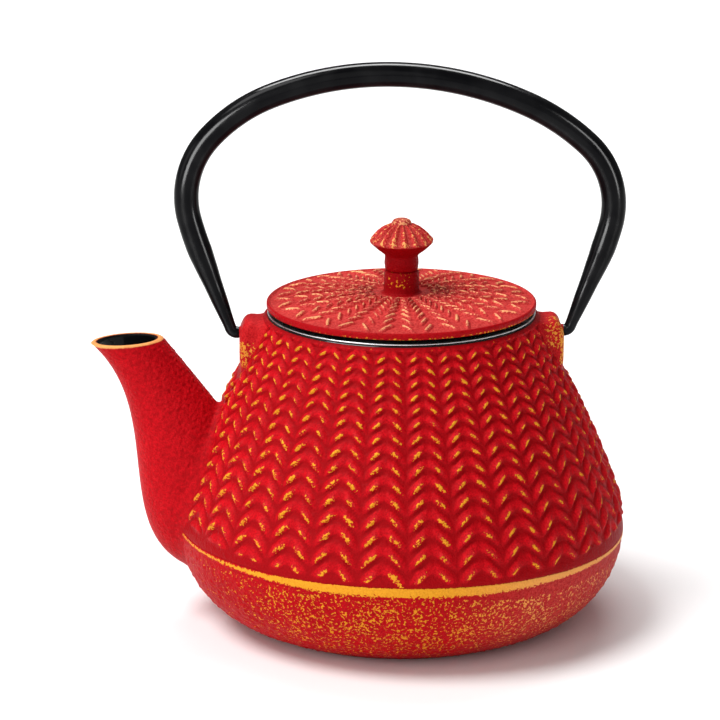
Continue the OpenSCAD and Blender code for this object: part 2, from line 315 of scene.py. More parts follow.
# perforated steel: a hole wherever a wave across times a wave along is high, so the rows are staggered.
# The waves run round and up the strainer's wall, or in X and Y across its flat floor.
def strainerMesh(name, flat):
    r = Recipe(name)
    parts = r.add("ShaderNodeSeparateXYZ")
    r.feed(parts.inputs[0], r.place)
    x, y, z = parts.outputs
    pitch = tau / (perforated["wave"] * mm)
    if flat:
        across = r.maths("MULTIPLY", x, pitch)
    else:
        across = r.maths("MULTIPLY", r.maths("ARCTAN2", y, x), perforated["wavesRound"])
    along = r.maths("MULTIPLY", y if flat else z, pitch)
    holes = r.span(r.maths("MULTIPLY", r.maths("SINE", across), r.maths("SINE", along)), 0.30, 0.42)
    scuff = r.noise(1.1, 3)
    sheet = r.mix(scuff, (0.50, 0.51, 0.52, 1), (0.74, 0.75, 0.76, 1))
    return r.finish(Base_Color=r.mix(holes, sheet, (0.012, 0.012, 0.013, 1)),
                    Metallic=r.maths("SUBTRACT", 1.0, holes), Roughness=r.span(scuff, 0.3, 0.7, 0.26, 0.38),
                    Normal=r.bump(r.maths("SUBTRACT", 1.0, holes), 0.25, 0.7))


# zinc plated screw and washer, duller and a little mottled
def dullSteel():
    r = Recipe("dullSteel")
    mottle = r.noise(1.4, 3)
    colour = r.mix(mottle, (0.40, 0.40, 0.39, 1), (0.62, 0.62, 0.61, 1))
    return r.finish(Base_Color=colour, Metallic=1.0, Roughness=r.span(mottle, 0.3, 0.7, 0.28, 0.45),
                    Normal=r.bump(mottle, 0.02, 0.4))


redIron, enamel, satinBlack = redLacquer(), blackEnamel(), blackPaint()
steel, plated = brightSteel(), dullSteel()
wallMesh, floorMesh = strainerMesh("strainerMeshWall", False), strainerMesh("strainerMeshFloor", True)
print("materials made")


# the pot, in millimetres
potHigh = topCorner("pot_body")
pot = {
    "belly": potHigh[0], "bellyHeight": 31.0, "mouthHeight": potHigh[2],
    "bowlArc": 31.5, "waistArc": 38.0, "wallArc": 340.0, "leanLow": 20.5, "leanHigh": 25.9,
    "mouthRadius": 38.9, "ledge": 3.0, "wall": 2.6, "floor": 3.6, "around": 638,
    "port": 11.0, "portHeight": 40.0,
}
wallMade = {
    "rows": 136, "seam": 0.35, "mean": 0.80, "grain": [(0.05, 3.1, 3), (0.035, 1.7, 4)],
    "run": [[-5.6, 37.3], [-2.4, 32.6]], "runHalf": 0.75, "runProud": 0.5,
    "plainFront": 0.4, "plainSide": 3.8,
}
bowlMade = {
    "foot": 0.6, "footLift": 0.18, "rows": 66, "grain": [(0.10, 2.6, 5), (0.06, 1.7, 6)], "brightest": 8.0,
}
band = {"slope": 0.016, "front": 1.55, "side": 0.65, "proud": 0.3, "rows": 15}
herring = {
    "columns": 29, "firstApex": -6.8, "rows": 15, "topRow": 1.2438, "pitch": 0.08238, "dropTop": 0.80,
    "dropLow": 0.98, "apexRound": 0.36, "ridge": 1.0, "above": 0.66, "below": 0.22, "seed": 11,
}
waistLean, wallLean = math.radians(pot["leanLow"]), math.radians(pot["leanHigh"])
waistEnd = np.array([pot["belly"] - pot["waistArc"] * (1 - math.cos(waistLean)),
                     pot["bellyHeight"] + pot["waistArc"] * math.sin(waistLean)])
wallCentre = waistEnd - pot["wallArc"] * np.array([math.cos(waistLean), math.sin(waistLean)])
wallEnd = wallCentre + pot["wallArc"] * np.array([math.cos(wallLean), math.sin(wallLean)])


# radius of the outside: round bowl, waist arc, long wall arc, then a straight lean up to the mouth
def potRadius(z):
    rise = z - pot["bellyHeight"]
    bowl = pot["belly"] - pot["bowlArc"] + np.sqrt(np.clip(pot["bowlArc"] ** 2 - rise ** 2, 0, None))
    waist = pot["belly"] - pot["waistArc"] + np.sqrt(np.clip(pot["waistArc"] ** 2 - rise ** 2, 0, None))
    wall = wallCentre[0] + np.sqrt(np.clip(pot["wallArc"] ** 2 - (z - wallCentre[1]) ** 2, 0, None))
    lean = wallEnd[0] - (z - wallEnd[1]) * math.tan(wallLean)
    return np.select([rise < 0, z < waistEnd[1], z < wallEnd[1]], [bowl, waist, wall], lean)


# climb of a height: the length along the wall over the local radius, so that a pattern keeps its shape
tableHeight = np.linspace(20, 110, 4000)
tableRadius = potRadius(tableHeight)
tableClimb = np.cumsum(np.hypot(np.gradient(tableHeight), np.gradient(tableRadius)) / tableRadius)
tableClimb -= np.interp(pot["bellyHeight"], tableHeight, tableClimb)


# middle and half height of the gold band at each azimuth: it tilts a little and thins towards the sides
def bandLine(azimuth):
    middle = pot["bellyHeight"] - band["slope"] * pot["belly"] * np.sin(azimuth)
    half = band["side"] + (band["front"] - band["side"]) * np.cos(azimuth) ** 2
    return middle, half


# 0 at the spout's root and the lugs, 1 where the relief stands at its full height: an S curve of the
# distance from the line where the spout meets the pot, times one of the distance from each lug
def reliefRoom(azimuth, height, radius):
    outline = spoutPoints(spoutMeets(roundAngles(120), 0.0), roundAngles(120))
    outline = outline[outline[:, 1] > 0]
    outline = outline[np.argsort(outline[:, 2])]
    beside = radius * np.abs((azimuth - 0.75 * tau + tau / 2) % tau - tau / 2)
    reach = np.interp(height, outline[:, 2], outline[:, 1], left=0, right=0)
    near = np.hypot(beside[..., None] - outline[::3, 1], height[..., None] - outline[::3, 2]).min(-1)
    spoutGap = near * (beside > reach)
    besideLug = radius * np.abs(azimuth % (tau / 2) - tau / 4)
    lugGap = np.hypot(besideLug, np.clip(94 - height, 0, None))
    return smoothStep(1.5, 4.5, spoutGap) * smoothStep(9, 14, lugGap)


# herringbone: each row is a rounded zigzag, path = (sqrt(across^2 + soft^2) - soft) scaled to 1, whose arms
# fall away from an apex line. The ridge is 1 - (below / width)^2, wide above its crest and narrow below it,
# and each arm carries a worn oval leaf where the gold was rubbed on. Gives ridge, rub and raggedness.
def herringbone(azimuth, climb):
    column = (azimuth - math.radians(herring["firstApex"])) * herring["columns"] / tau
    nearest = np.round(column)
    across = 2 * np.abs(column - nearest)
    soft = herring["apexRound"]
    path = (np.sqrt(across ** 2 + soft ** 2) - soft) / (math.sqrt(1 + soft ** 2) - soft)
    drop = np.interp(climb, [0, herring["topRow"]], [herring["dropLow"], herring["dropTop"]])
    row = (herring["topRow"] - climb) / herring["pitch"] - drop * path
    number = np.round(row)
    below = row - number
    width = np.where(below < 0, herring["above"], herring["below"]) * (0.82 + 0.18 * np.sin(np.pi * across))
    ridge = np.clip(1 - (below / width) ** 2, 0, None) ** 1.2
    strength = np.interp(across, [0, 0.16, 0.34, 0.66, 0.84, 1], [0.40, 0.62, 1, 1, 0.5, 0.1])
    real = (number > -1.5) & (number < herring["rows"] - 0.5)
    dice = np.random.default_rng(herring["seed"])
    dice = dice.uniform(-1, 1, (4, herring["columns"], herring["rows"] + 2, 2))
    arm = (nearest.astype(int) % herring["columns"], np.clip(number, -1, herring["rows"]).astype(int),
           (column > nearest).astype(int))
    right = np.sin(azimuth)
    wearAndShade = dice[(0,) + arm] * 0.14 + 0.10 * smoothStep(3, 14, number)
    # less gold, and duller gold, towards the right: partly wear, partly painted shade on the side away from
    # the key light
    wearAndShade += 0.25 * smoothStep(0.45, 0.97, right)
    middle = 0.50 + 0.05 * dice[(1,) + arm]
    reach = 0.27 + 0.04 * dice[(2,) + arm]
    leaf = 1 - ((across - middle) / reach) ** 2 - ((below - 0.02) / 0.18) ** 2
    rub = np.clip(leaf - wearAndShade, -1, 1) * 0.9
    raised = ridge * strength * real + 0.30 * np.sqrt(np.clip(leaf, 0, 1)) * real
    return raised, np.where(real, rub, -1), smoothStep(3, 9, number) * smoothStep(0.5, 0.0, right)


# the wall, from the gold band to the mouth: the relief stands off the outside along its normal, and the
# inside is the same outline one wall further in
def makeWall():
    azimuth = roundAngles(pot["around"])[None, :]
    middle, half = bandLine(azimuth)
    seamHeight = middle + half + wallMade["seam"]
    seam = np.interp(seamHeight, tableHeight, tableClimb)
    top = np.interp(pot["mouthHeight"] - 0.5, tableHeight, tableClimb)
    share = np.linspace(0, 1, wallMade["rows"])[:, None]
    climb = seam + (top - seam) * share
    height = np.interp(climb, tableClimb, tableHeight)
    radius = potRadius(height)
    azimuth = np.broadcast_to(azimuth, height.shape)
    ridge, rub, ragged = herringbone(azimuth, climb)
    plain = wallMade["plainFront"] + wallMade["plainSide"] * np.sin(azimuth) ** 2
    room = reliefRoom(azimuth, height, radius) * smoothStep(plain, plain + 1.2, height - seamHeight)
    ridge = ridge * room
    points = polar(radius, azimuth, height)
    start, end = (np.array(point) for point in wallMade["run"])  # a run of gold down into the band
    beside = ((azimuth + tau / 2) % tau - tau / 2) * pot["belly"]
    offset = np.stack([beside, height], -1) - start
    along = np.clip(offset @ (end - start) / ((end - start) @ (end - start)), 0, 1)
    spill = 1 - np.linalg.norm(offset - along[..., None] * (end - start), axis=-1) / wallMade["runHalf"]
    rough = castSkin(points, wallMade["grain"]) + wallMade["runProud"] * np.clip(spill, 0, 1)
    shift = herring["ridge"] * (ridge - wallMade["mean"]) + rough
    shift *= smoothStep(0.0, 0.06, share) * smoothStep(1.0, 0.985, share)
    normalR, normalZ = profileNormals(radius, height)
    points = polar(radius + normalR * shift, azimuth, height + normalZ * shift)
    mouth = pot["mouthHeight"]
    outer = float(potRadius(np.array(mouth)))
    # over the mouth's edge and down its bore, then down the inside to the seam
    lip = [[outer - 0.55, mouth + 0.3], [outer - 0.8, mouth + 0.42], [outer - 1.1, mouth + 0.4],
           [outer - 1.2, mouth], [pot["mouthRadius"] + 0.1, mouth],
           [pot["mouthRadius"], mouth - 0.2], [pot["mouthRadius"], mouth - pot["ledge"]]]
    inner = turned(lip, pot["around"])
    downHeight = height[:1] + np.linspace(1, 0, 9)[:, None] * (mouth - pot["ledge"] - height[:1])
    down = polar(potRadius(downHeight) - pot["wall"] / math.cos(wallLean), azimuth[:1], downHeight)
    rings = np.concatenate([points, inner, down])
    pad = ((0, len(rings) - len(points)), (0, 0))
    rub = np.maximum(np.where(room > 0.5, rub, -1), 1.3 * spill)
    # the relief also sets the lacquer colour: painted shade in the hollows between rows and a painted
    # highlight on the crests; the rings over the mouth and down the inside take the darkest red
    piece = ringPiece("herringboneWall", rings, redIron, loop=True, fields={
        "height": np.pad(0.10 + 0.78 * ridge, pad), "rub": np.pad(rub, pad), "ragged": np.pad(ragged, pad)})
    drillPort(piece)
    return piece


# the round port through which tea leaves for the spout
def drillPort(piece):
    drill(piece, (-pot["belly"] + 5, 0, pot["portHeight"]), (1, 0, 0), pot["port"], 40)


# the bowl under the wall, an arc from the foot up to the seam, with the gold band standing a little proud
# along its top edge. The gold grain is densest in front and behind and thins towards the spout and the foot.
def makeBowl():
    azimuth = roundAngles(pot["around"])[None, :]
    middle, half = bandLine(azimuth)
    bandRows = np.linspace(-1, 1, band["rows"])[:, None] * (half + wallMade["seam"]) + middle
    share = np.linspace(0, 1, bowlMade["rows"])[1:, None]
    fall = np.arcsin((pot["bellyHeight"] - bowlMade["foot"]) / pot["bowlArc"])
    start = np.arcsin((pot["bellyHeight"] - bandRows[:1]) / pot["bowlArc"])
    bowlRows = pot["bellyHeight"] - pot["bowlArc"] * np.sin(fall + (start - fall) * share)
    height = np.concatenate([bowlRows[:-1], bandRows])
    radius = potRadius(height)
    azimuth = np.broadcast_to(azimuth, height.shape)
    gap = np.abs(height - middle) / half
    points = polar(radius, azimuth, height)
    raised = smoothStep(1.12, 0.86, gap)
    below = middle - half - height
    rough = castSkin(points, bowlMade["grain"]) * (0.25 + 0.75 * smoothStep(0.2, 3, below))
    rough *= smoothStep(1.22, 1.0, (height - middle) / half)
    shift = band["proud"] * (raised - 1) + rough * (1 - 0.7 * raised)
    normalR, normalZ = profileNormals(radius, height)
    points = polar(radius + normalR * shift, azimuth, height + normalZ * shift)
    footEdge = [float(potRadius(np.array(bowlMade["foot"]))) - 0.7, bowlMade["footLift"]]
    footRing = turned([[0.5, 1.4], [42.5, 1.4], [44.2, 0.9], [45.2, 0.15], [46.0, 0.0], [47.6, 0.0], footEdge],
                      pot["around"])
    innerHeight = pot["floor"] + (height[-1:] - pot["floor"]) * np.linspace(1, 0, 10)[:, None] ** 1.3
    innerArc = np.sqrt(np.clip((pot["bowlArc"] - pot["wall"]) ** 2
                               - np.clip(pot["bellyHeight"] - innerHeight, 0, None) ** 2, 0, None))
    innerRadius = pot["belly"] - pot["bowlArc"] + innerArc
    inner = polar(innerRadius, azimuth[:1], innerHeight)
    rings = np.concatenate([footRing, points, inner])
    pad = ((len(footRing), len(inner)), (0, 0))
    facing = np.abs(np.cos(azimuth - math.radians(bowlMade["brightest"])))
    right = np.sin(azimuth)
    # a plain red strip under the band, wider on the right
    plain = 0.4 + 3.0 * smoothStep(0.1, 0.6, right)
    fewer = smoothStep(-1.0, -0.5, right) * smoothStep(-4, 16, height)
    speckle = 0.12 + (0.30 + 0.13 * facing) * (0.5 + 0.5 * fewer) * smoothStep(0.0, 0.8, below - plain)
    # the band is ragged along its lower edge and worn towards both sides
    tooth = smoothStep(0, -0.4, height - middle)
    ends = smoothStep(-0.35, -0.85, right) + 0.6 * smoothStep(0.5, 0.95, right)
    rub = (1.75 - 1.4 * gap ** 3) * (1 - tooth) + (0.45 + 1.3 * (1 - gap)) * tooth - ends
    rub = np.where(gap < 2.0, rub, -1)
    # the bowl is a darker red than the band: painted shade on the bowl, which faces down; its right side is
    # paler: painted sheen
    fields = {"height": np.pad(0.33 + 0.2 * raised, pad), "rub": np.pad(rub, pad, constant_values=-1),
              "speckle": np.pad(speckle, pad), "ragged": np.pad(np.maximum(0.7 * tooth, 0.9 * ends), pad),
              "pale": np.pad(0.42 * smoothStep(0.1, 0.7, right), pad)}
    return ringPiece("speckledBowl", rings, redIron, fields=fields)


# fired lining: over the mouth's edge, then down the inside of the wall and across the floor
def makeLining():
    mouth, thick = pot["mouthHeight"], 0.4
    outer = float(potRadius(np.array(mouth))) - 1.3
    low = np.linspace(mouth - pot["ledge"] - 0.05, pot["bellyHeight"], 20)
    wallSide = np.stack([potRadius(low) - pot["wall"] / math.cos(wallLean), low], -1)
    inside = pot["bowlArc"] - pot["wall"]
    bowlSide = arcPoints((pot["belly"] - pot["bowlArc"], pot["bellyHeight"]), inside, 0,
                         -math.degrees(math.asin((pot["bellyHeight"] - pot["floor"]) / inside)), 16)[1:]
    skin = np.concatenate([wallSide, bowlSide, [[0.5, pot["floor"]]]])
    hole, under = pot["mouthRadius"], mouth - pot["ledge"]
    over = [[hole - 0.02, mouth + 0.02], [outer, mouth + 0.02], [outer, mouth + 0.45],
            [outer - 0.25, mouth + 0.7], [hole, mouth + 0.7], [hole - 0.4, mouth + 0.4],
            [hole - 0.4, under - thick]]
    inner = (skin - [thick, 0])[1:]
    inner[-16:, 1] += thick * np.linspace(0, 1, 16)
    profile = np.concatenate([
        over, [[inner[0, 0], under - thick]], inner[:-1], [[0.5, pot["floor"] + thick]],
        skin[::-1] - [0.02, 0], [[hole - 0.02, under - 0.05]]])
    piece = ringPiece("potLining", turned(profile[::-1], 240), enamel, loop=True)
    drillPort(piece)
    return piece


# the spout: its two edges in the XZ plane are cubic curves given by their control points
spout = {
    "mouthMiddle": np.array([-91.2, 94.9]), "mouthHalf": 12.0, "mouthSlope": 0.06,
    "tipWidth": 9.0, "rootWidth": 21.0, "tipWall": 1.9, "rootWall": 3.2,
    "low": [[-63.8, 14.0], [-102.8, 21.7], [-75.8, 68.6]],
    "high": [[-50.0, 58.0], [-55.0, 64.0], [-69.0, 83.0]],
    "around": 208, "fillet": 3.2, "sunk": 1.2, "flare": 0.38, "pebbles": [(0.05, 2.0, 8), (0.035, 1.2, 9)],
    "lip": [(0.0, -0.15), (0.12, 0.12), (0.35, 0.28), (0.6, 0.28), (0.85, 0.1), (0.98, -0.3)],
}
mouthStep = spout["mouthHalf"] * np.array([1.0, spout["mouthSlope"]])
lowEdge = np.array(spout["low"] + [spout["mouthMiddle"] - mouthStep])
highEdge = np.array(spout["high"] + [spout["mouthMiddle"] + mouthStep])


# cubic curve through four control points
def cubic(control, t):
    t = np.asarray(t)[..., None]
    return ((1 - t) ** 3 * control[0] + 3 * (1 - t) ** 2 * t * control[1]
            + 3 * (1 - t) * t ** 2 * control[2] + t ** 3 * control[3])


# points of the spout's oval sections: the middle of the two edges plus half their distance times cos(angle),
# and the width times sin(angle). t runs from root to mouth, the angle goes round from the upper edge, and
# inset is how far inside the outer skin the points lie, in walls
def spoutPoints(t, angle, inset=0.0):
    t, angle = np.broadcast_arrays(t, angle)
    low, high = cubic(lowEdge, t), cubic(highEdge, t)
    middle, half = (low + high) / 2, (high - low) / 2
    wallHere = spout["tipWall"] + (spout["rootWall"] - spout["tipWall"]) * (1 - t)
    lengthwise = (1 - inset * wallHere * 1.25 / np.linalg.norm(half, axis=-1)) * np.cos(angle)
    wide = spout["tipWidth"] + (spout["rootWidth"] - spout["tipWidth"]) * (1 - t) ** 1.5 - inset * wallHere
    flat = middle + half * lengthwise[..., None]
    return np.stack([flat[..., 0], wide * np.sin(angle), flat[..., 1]], -1)


# how far points stand out from the pot's outside, along the radius
def standOff(points):
    return np.hypot(points[..., 0], points[..., 1]) - potRadius(points[..., 2])


# for each angle, the t nearest the mouth at which the spout's skin stands `gap` off the pot
def spoutMeets(angle, gap, inset=0.0):
    t = np.linspace(0, 1, 900)[:, None]
    inside = standOff(spoutPoints(t, angle[None, :], inset)) < gap
    return t[len(t) - 1 - np.argmax(inside[::-1], axis=0), 0]


# quadratic curve through two ends, pulled towards a control point
def bend(first, control, last, t):
    return (1 - t) ** 2 * first + 2 * t * (1 - t) * control + t ** 2 * last


# the spout: a fillet bends from the pot's outside on to the oval sections, which run up to a rounded lip and
# back down the channel. The skin is pebbly on its upper side.
def makeSpout():
    angle = roundAngles(spout["around"])
    side = np.abs(np.sin(angle))
    gap = spout["fillet"] * (0.55 + 0.65 * side)
    meets = spoutMeets(angle, 0.0)
    leaves = spoutMeets(angle, gap)
    corner = spoutPoints(meets, angle)
    away = corner - spoutPoints(meets, angle, 2.0)
    normal = corner * [1, 1, 0]
    normal /= np.linalg.norm(normal, axis=-1, keepdims=True)
    normal[:, 2] = spout["flare"]
    normal /= np.linalg.norm(normal, axis=-1, keepdims=True)
    away -= normal * (away * normal).sum(-1, keepdims=True)
    away *= (gap * 1.15)[:, None] / np.linalg.norm(away, axis=-1, keepdims=True)
    reach = corner + away
    turn = np.arctan2(reach[:, 0], -reach[:, 1])
    # the fillet lands a little inside the pot's skin
    landing = polar(potRadius(reach[:, 2]) - spout["sunk"], turn, reach[:, 2])
    leave = spoutPoints(leaves, angle)
    fillet = bend(landing[None], corner[None], leave[None], np.linspace(0, 1, 14)[:, None, None])
    t = leaves[None] + (1 - leaves[None]) * np.linspace(0, 1, 150)[1:, None] ** 0.9
    outer = spoutPoints(t, angle[None])
    skin = np.concatenate([fillet, outer[:-1]])
    around = np.roll(skin, -1, 1) - np.roll(skin, 1, 1)
    along = np.gradient(skin, axis=0)
    out = np.cross(around, along)
    out /= np.linalg.norm(out, axis=-1, keepdims=True) + 1e-9
    share = np.linspace(0, 1, len(skin))[:, None]
    upper = smoothStep(-0.5, 0.5, np.cos(angle))[None, :]
    pebble = castSkin(skin, spout["pebbles"]) * (0.15 + 0.85 * upper)
    pebble *= smoothStep(0, 0.1, share) * smoothStep(1.0, 0.97, share)
    skin = skin - out * pebble[..., None]
    lip = [spoutPoints(1.0, angle, inset) + [0, 0, rise] for inset, rise in spout["lip"]]
    innerStart = spoutMeets(angle, -0.5, 1.0)
    innerT = np.linspace(0.97, 0, 24)[:, None] * (1 - innerStart) + innerStart
    rings = np.concatenate([skin, np.array(lip), spoutPoints(innerT, angle[None], 1.0)])
    rows = len(skin)
    # gold on the lip, black inside it
    rub = np.full(rings.shape[:2], -1.0)
    rub[rows - 1:rows + 4] = 1.2
    rub[rows - 2:rows - 1] = 0.25
    bare = np.zeros(rings.shape[:2])
    bare[rows + 4:] = 1
    height = np.full(rings.shape[:2], 0.5)
    # the spout's red varies at random and darkens towards the root: painted shade in the crease where the
    # spout meets the pot
    height[:rows] = 0.44 + 0.10 * grain(skin, 1.9, 8) - 0.18 * smoothStep(0.2, 0.0, share)
    return ringPiece("spoutCasting", rings, redIron, loop=True, flip=True, fields={
        "rub": rub, "height": height, "bare": bare, "pale": np.where(rub > 0, 0.55, 0.0)})


# thin glassy lining of the spout's channel: its outer and inner sections, joined at both ends
def makeSpoutEnamel():
    angle = roundAngles(96)
    start = spoutMeets(angle, 0.4, 1.0)
    share = np.linspace(0, 1, 60)[:, None]
    t = start + (0.992 - start) * share
    outside, inside = spoutPoints(t, angle[None], 0.97), spoutPoints(t[::-1], angle[None], 1.2)
    return ringPiece("spoutEnamel", np.concatenate([outside, inside]), enamel, loop=True, flip=True)


lining = makeLining()
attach(lining, "pot")
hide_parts("enamel_lining")
wall = makeWall()
bowl = makeBowl()
for piece in (wall, bowl):
    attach(piece, "pot")
    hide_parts("pot_body")
print("wall and bowl made")

spoutCasting = makeSpout()
spoutEnamel = makeSpoutEnamel()
for piece, slotName in ((spoutCasting, "red_iron"), (spoutEnamel, "black_enamel")):
    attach(piece, "pot")
    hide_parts("spout")
print("spout made")


# the two lugs that take the hooks of the bail
lugHigh = topCorner("handle_lug_right")
lug = {
    "face": lugHigh[0], "top": lugHigh[2], "half": 8.0, "low": 80.5, "pin": 97.3, "hole": 1.78, "depth": 3.2,
    "lean": 1.6, "round": 2.4, "around": 144, "fillet": 3.6, "sunk": 1.2, "back": 36.0,
    "goldRight": (93.0, 104.5), "goldLeft": (87.5, 96.0),
}


# outline of the lug seen along the pivot: an oval about the pin with cosine and sine raised to 2 / 3.2,
# which squares it, scaled by `share`
def lugOutline(angle, share):
    power = 2 / 3.2
    y = lug["half"] * np.sign(np.cos(angle)) * np.abs(np.cos(angle)) ** power
    up, down = lug["top"] - lug["pin"], lug["pin"] - lug["low"]
    z = np.where(np.sin(angle) > 0, up, down) * np.sign(np.sin(angle)) * np.abs(np.sin(angle)) ** power
    return y * share, lug["pin"] + z * share


# the face is flat round the pin hole, rolls over at its edge, then runs back to the wall and flares into it
def makeLug(name, side):
    angle = roundAngles(lug["around"])
    rings = []
    # blind pin hole: floor, wall and a small chamfer at the face
    for reach, inward in ((0.3, lug["depth"]), (1.0, lug["depth"]), (1.0, 0.25), (1.12, 0.0)):
        ring = lug["hole"] * reach
        rings.append(np.stack([np.full(angle.shape, lug["face"] - inward), ring * np.cos(angle),
                               lug["pin"] + ring * np.sin(angle)], -1))
    holeY, holeZ = rings[-1][:, 1], rings[-1][:, 2]
    # the face, from the round hole out to the squarer outline
    for share in np.linspace(0.12, 1, 22):
        y, z = lugOutline(angle, share)
        mixIn = smoothStep(0.0, 0.4, share)
        y = holeY * (1 - mixIn) * (1 + share * 2) + y * mixIn
        z = (holeZ - lug["pin"]) * (1 - mixIn) * (1 + share * 2) + lug["pin"] + (z - lug["pin"]) * mixIn
        rollOver = lug["round"] * (1 - np.sqrt(np.clip(1 - np.clip((share - 0.62) / 0.38, 0, 1) ** 2, 0, 1)))
        leanIn = lug["lean"] * smoothStep(lug["pin"] - 1, lug["top"], z)
        rings.append(np.stack([lug["face"] - rollOver - leanIn, y, z], -1))
    # lines from the edge straight back into the pot, used as far as the flare
    edge = rings[-1]
    back = np.linspace(0, 1, 40)[:, None]
    startX = edge[:, 0]
    x = startX + (lug["back"] - startX) * back
    fallTop = (x - startX) * 0.09 * smoothStep(lug["pin"], lug["top"], edge[:, 2])
    spread = 1 + 0.1 * back
    lines = np.stack([x, edge[:, 1] * spread, edge[:, 2] + fallTop], -1)
    off = standOff(lines)
    gap = np.minimum(lug["fillet"] * (0.35 + 0.65 * np.abs(np.cos(angle))), np.maximum(off[0] * 0.8, 0.05))
    crossing = np.argmin(np.abs(off), axis=0)
    leaving = np.argmin(np.abs(off - gap), axis=0)
    pick = np.arange(len(angle))
    corner, leave = lines[crossing, pick], lines[leaving, pick]
    away = corner - np.array([0, 0, 1]) * lug["pin"]
    away[:, 0] = 0
    away /= np.linalg.norm(away, axis=-1, keepdims=True)
    reach = corner + away * gap[:, None] * 1.2
    reach[:, 2] = np.clip(reach[:, 2], None, pot["mouthHeight"] - 0.3)
    turn = np.arctan2(reach[:, 0], -reach[:, 1])
    landing = polar(potRadius(reach[:, 2]) - lug["sunk"], turn, reach[:, 2])
    straight = edge + (leave - edge) * np.linspace(0, 1, 14)[1:, None, None]
    flare = bend(leave[None], corner[None], landing[None], np.linspace(0, 1, 10)[1:, None, None])
    rings = np.concatenate([np.array(rings), straight, flare])
    rings = rings * [side, 1, 1]
    y, z = rings[..., 1], rings[..., 2]
    # gold specks on the front of both lugs, and a rubbed line down the right one
    front = smoothStep(1, -4, y) if side > 0 else smoothStep(-1, -5, y)
    low, high = lug["goldRight"] if side > 0 else lug["goldLeft"]
    inFromFace = lug["face"] - np.abs(rings[..., 0])
    line = smoothStep(2.8, 1.2, inFromFace) * smoothStep(-2.5, -5, y) * smoothStep(84, 88, z)
    rub = -1 + 1.5 * line * smoothStep(104, 99, z) * (side > 0)
    speckle = 0.62 * front * smoothStep(low - 2, low + 1, z) * smoothStep(high + 1, high - 1, z)
    speckle *= smoothStep(9, 4, inFromFace) * (1 + 0.25 * smoothStep(4, 1, inFromFace))
    return ringPiece(name, rings, redIron, flip=side > 0,
                     fields={"height": 0.5, "pale": 0.12, "rub": rub, "speckle": speckle})


for name, side, node in (("lugRight", 1, "handle_lug_right"), ("lugLeft", -1, "handle_lug_left")):
    piece = makeLug(name, side)
    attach(piece, "pot")
    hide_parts(node)
print("lugs made")


# the bail: each half is a chain of arcs given as [radius, degrees]
bail = {
    "crownX": -5.4, "crownZ": 183.9, "pivot": lug["pin"], "neck": 1.95, "bendRadius": 2.2, "pin": 1.7,
    "pinEnd": 50.6,
    "right": [[112, 25], [73, 18.5], [28, 61.5], [110, 7]],
    "left": [[104, 21], [54, 26.5], [29.5, 57], [110, 6]],
    "taperAt": [100, 102.5, 108, 114, 119, 125], "taper": [1.98, 2.2, 2.7, 3.1, 3.6, 4.1], "around": 56,
}


# centre line of half the bail from its crown out: arcs of [radius, degrees], each starting in the heading
# where the last one ended, then a straight leg, a small bend and the pin. Gives [x, z, heading] and radius.
def halfBail(arcs, startX):
    x, z, heading = startX, bail["crownZ"], 0.0
    stations = []
    for radius, sweep in arcs:
        turn = heading + np.radians(np.linspace(0, sweep, max(6, int(sweep * 1.6))))[:-1]
        stations.append(np.stack([x + radius * (np.sin(turn) - math.sin(heading)),
                                  z + radius * (np.cos(turn) - math.cos(heading)), turn], -1))
        after = heading + math.radians(sweep)
        x += radius * (math.sin(after) - math.sin(heading))
        z += radius * (math.cos(after) - math.cos(heading))
        heading = after
    footZ = bail["pivot"] + bail["bendRadius"] * (1 + math.cos(heading))
    footX = x + (z - footZ) / math.tan(heading) if abs(math.cos(heading)) > 1e-6 else x
    leg = np.linspace(0, 1, 30)[:, None]
    stations.append(np.concatenate([np.array([x, z]) + leg * np.array([footX - x, footZ - z]),
                                    np.full((30, 1), heading)], 1)[:-1])
    turn = np.linspace(heading, math.pi, 18)
    bendX = footX + bail["bendRadius"] * (np.sin(turn) - math.sin(heading))
    bendZ = footZ + bail["bendRadius"] * (np.cos(turn) - math.cos(heading))
    stations.append(np.stack([bendX, bendZ, turn], -1))
    path = np.concatenate(stations)
    radius = np.interp(path[:, 1], bail["taperAt"], bail["taper"])
    ends = np.array([[x, bail["pivot"], math.pi]
                     for x in (bendX[-1] - 0.5, bendX[-1] - 0.9, bail["pinEnd"] + 0.3, bail["pinEnd"])])
    radius[-1] = bail["neck"]
    endRadius = [bail["neck"], bail["pin"], bail["pin"], bail["pin"] - 0.3]
    return np.concatenate([path, ends]), np.concatenate([radius, endRadius])


# the bail: a circle of the local radius carried along both halves of the centre line, square to it
def makeBail():
    right, rightRadius = halfBail(bail["right"], bail["crownX"])
    left, leftRadius = halfBail(bail["left"], -bail["crownX"])
    left = left[::-1] * [-1, 1, -1]
    path = np.concatenate([left[:-1], right])
    radius = np.concatenate([leftRadius[::-1][:-1], rightRadius])
    angle = roundAngles(bail["around"])[None, :]
    out = np.stack([np.sin(path[:, 2]), np.zeros(len(path)), np.cos(path[:, 2])], -1)
    centre = np.stack([path[:, 0], np.zeros(len(path)), path[:, 1]], -1)
    rings = centre[:, None] + radius[:, None, None] * (
        np.cos(angle)[..., None] * out[:, None] + np.sin(angle)[..., None] * np.array([0, 1, 0]))
    return ringPiece("bailHandle", rings, satinBlack)


bailHandle = makeBail()
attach(bailHandle, "handle")
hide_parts("handle")
print("bail made")


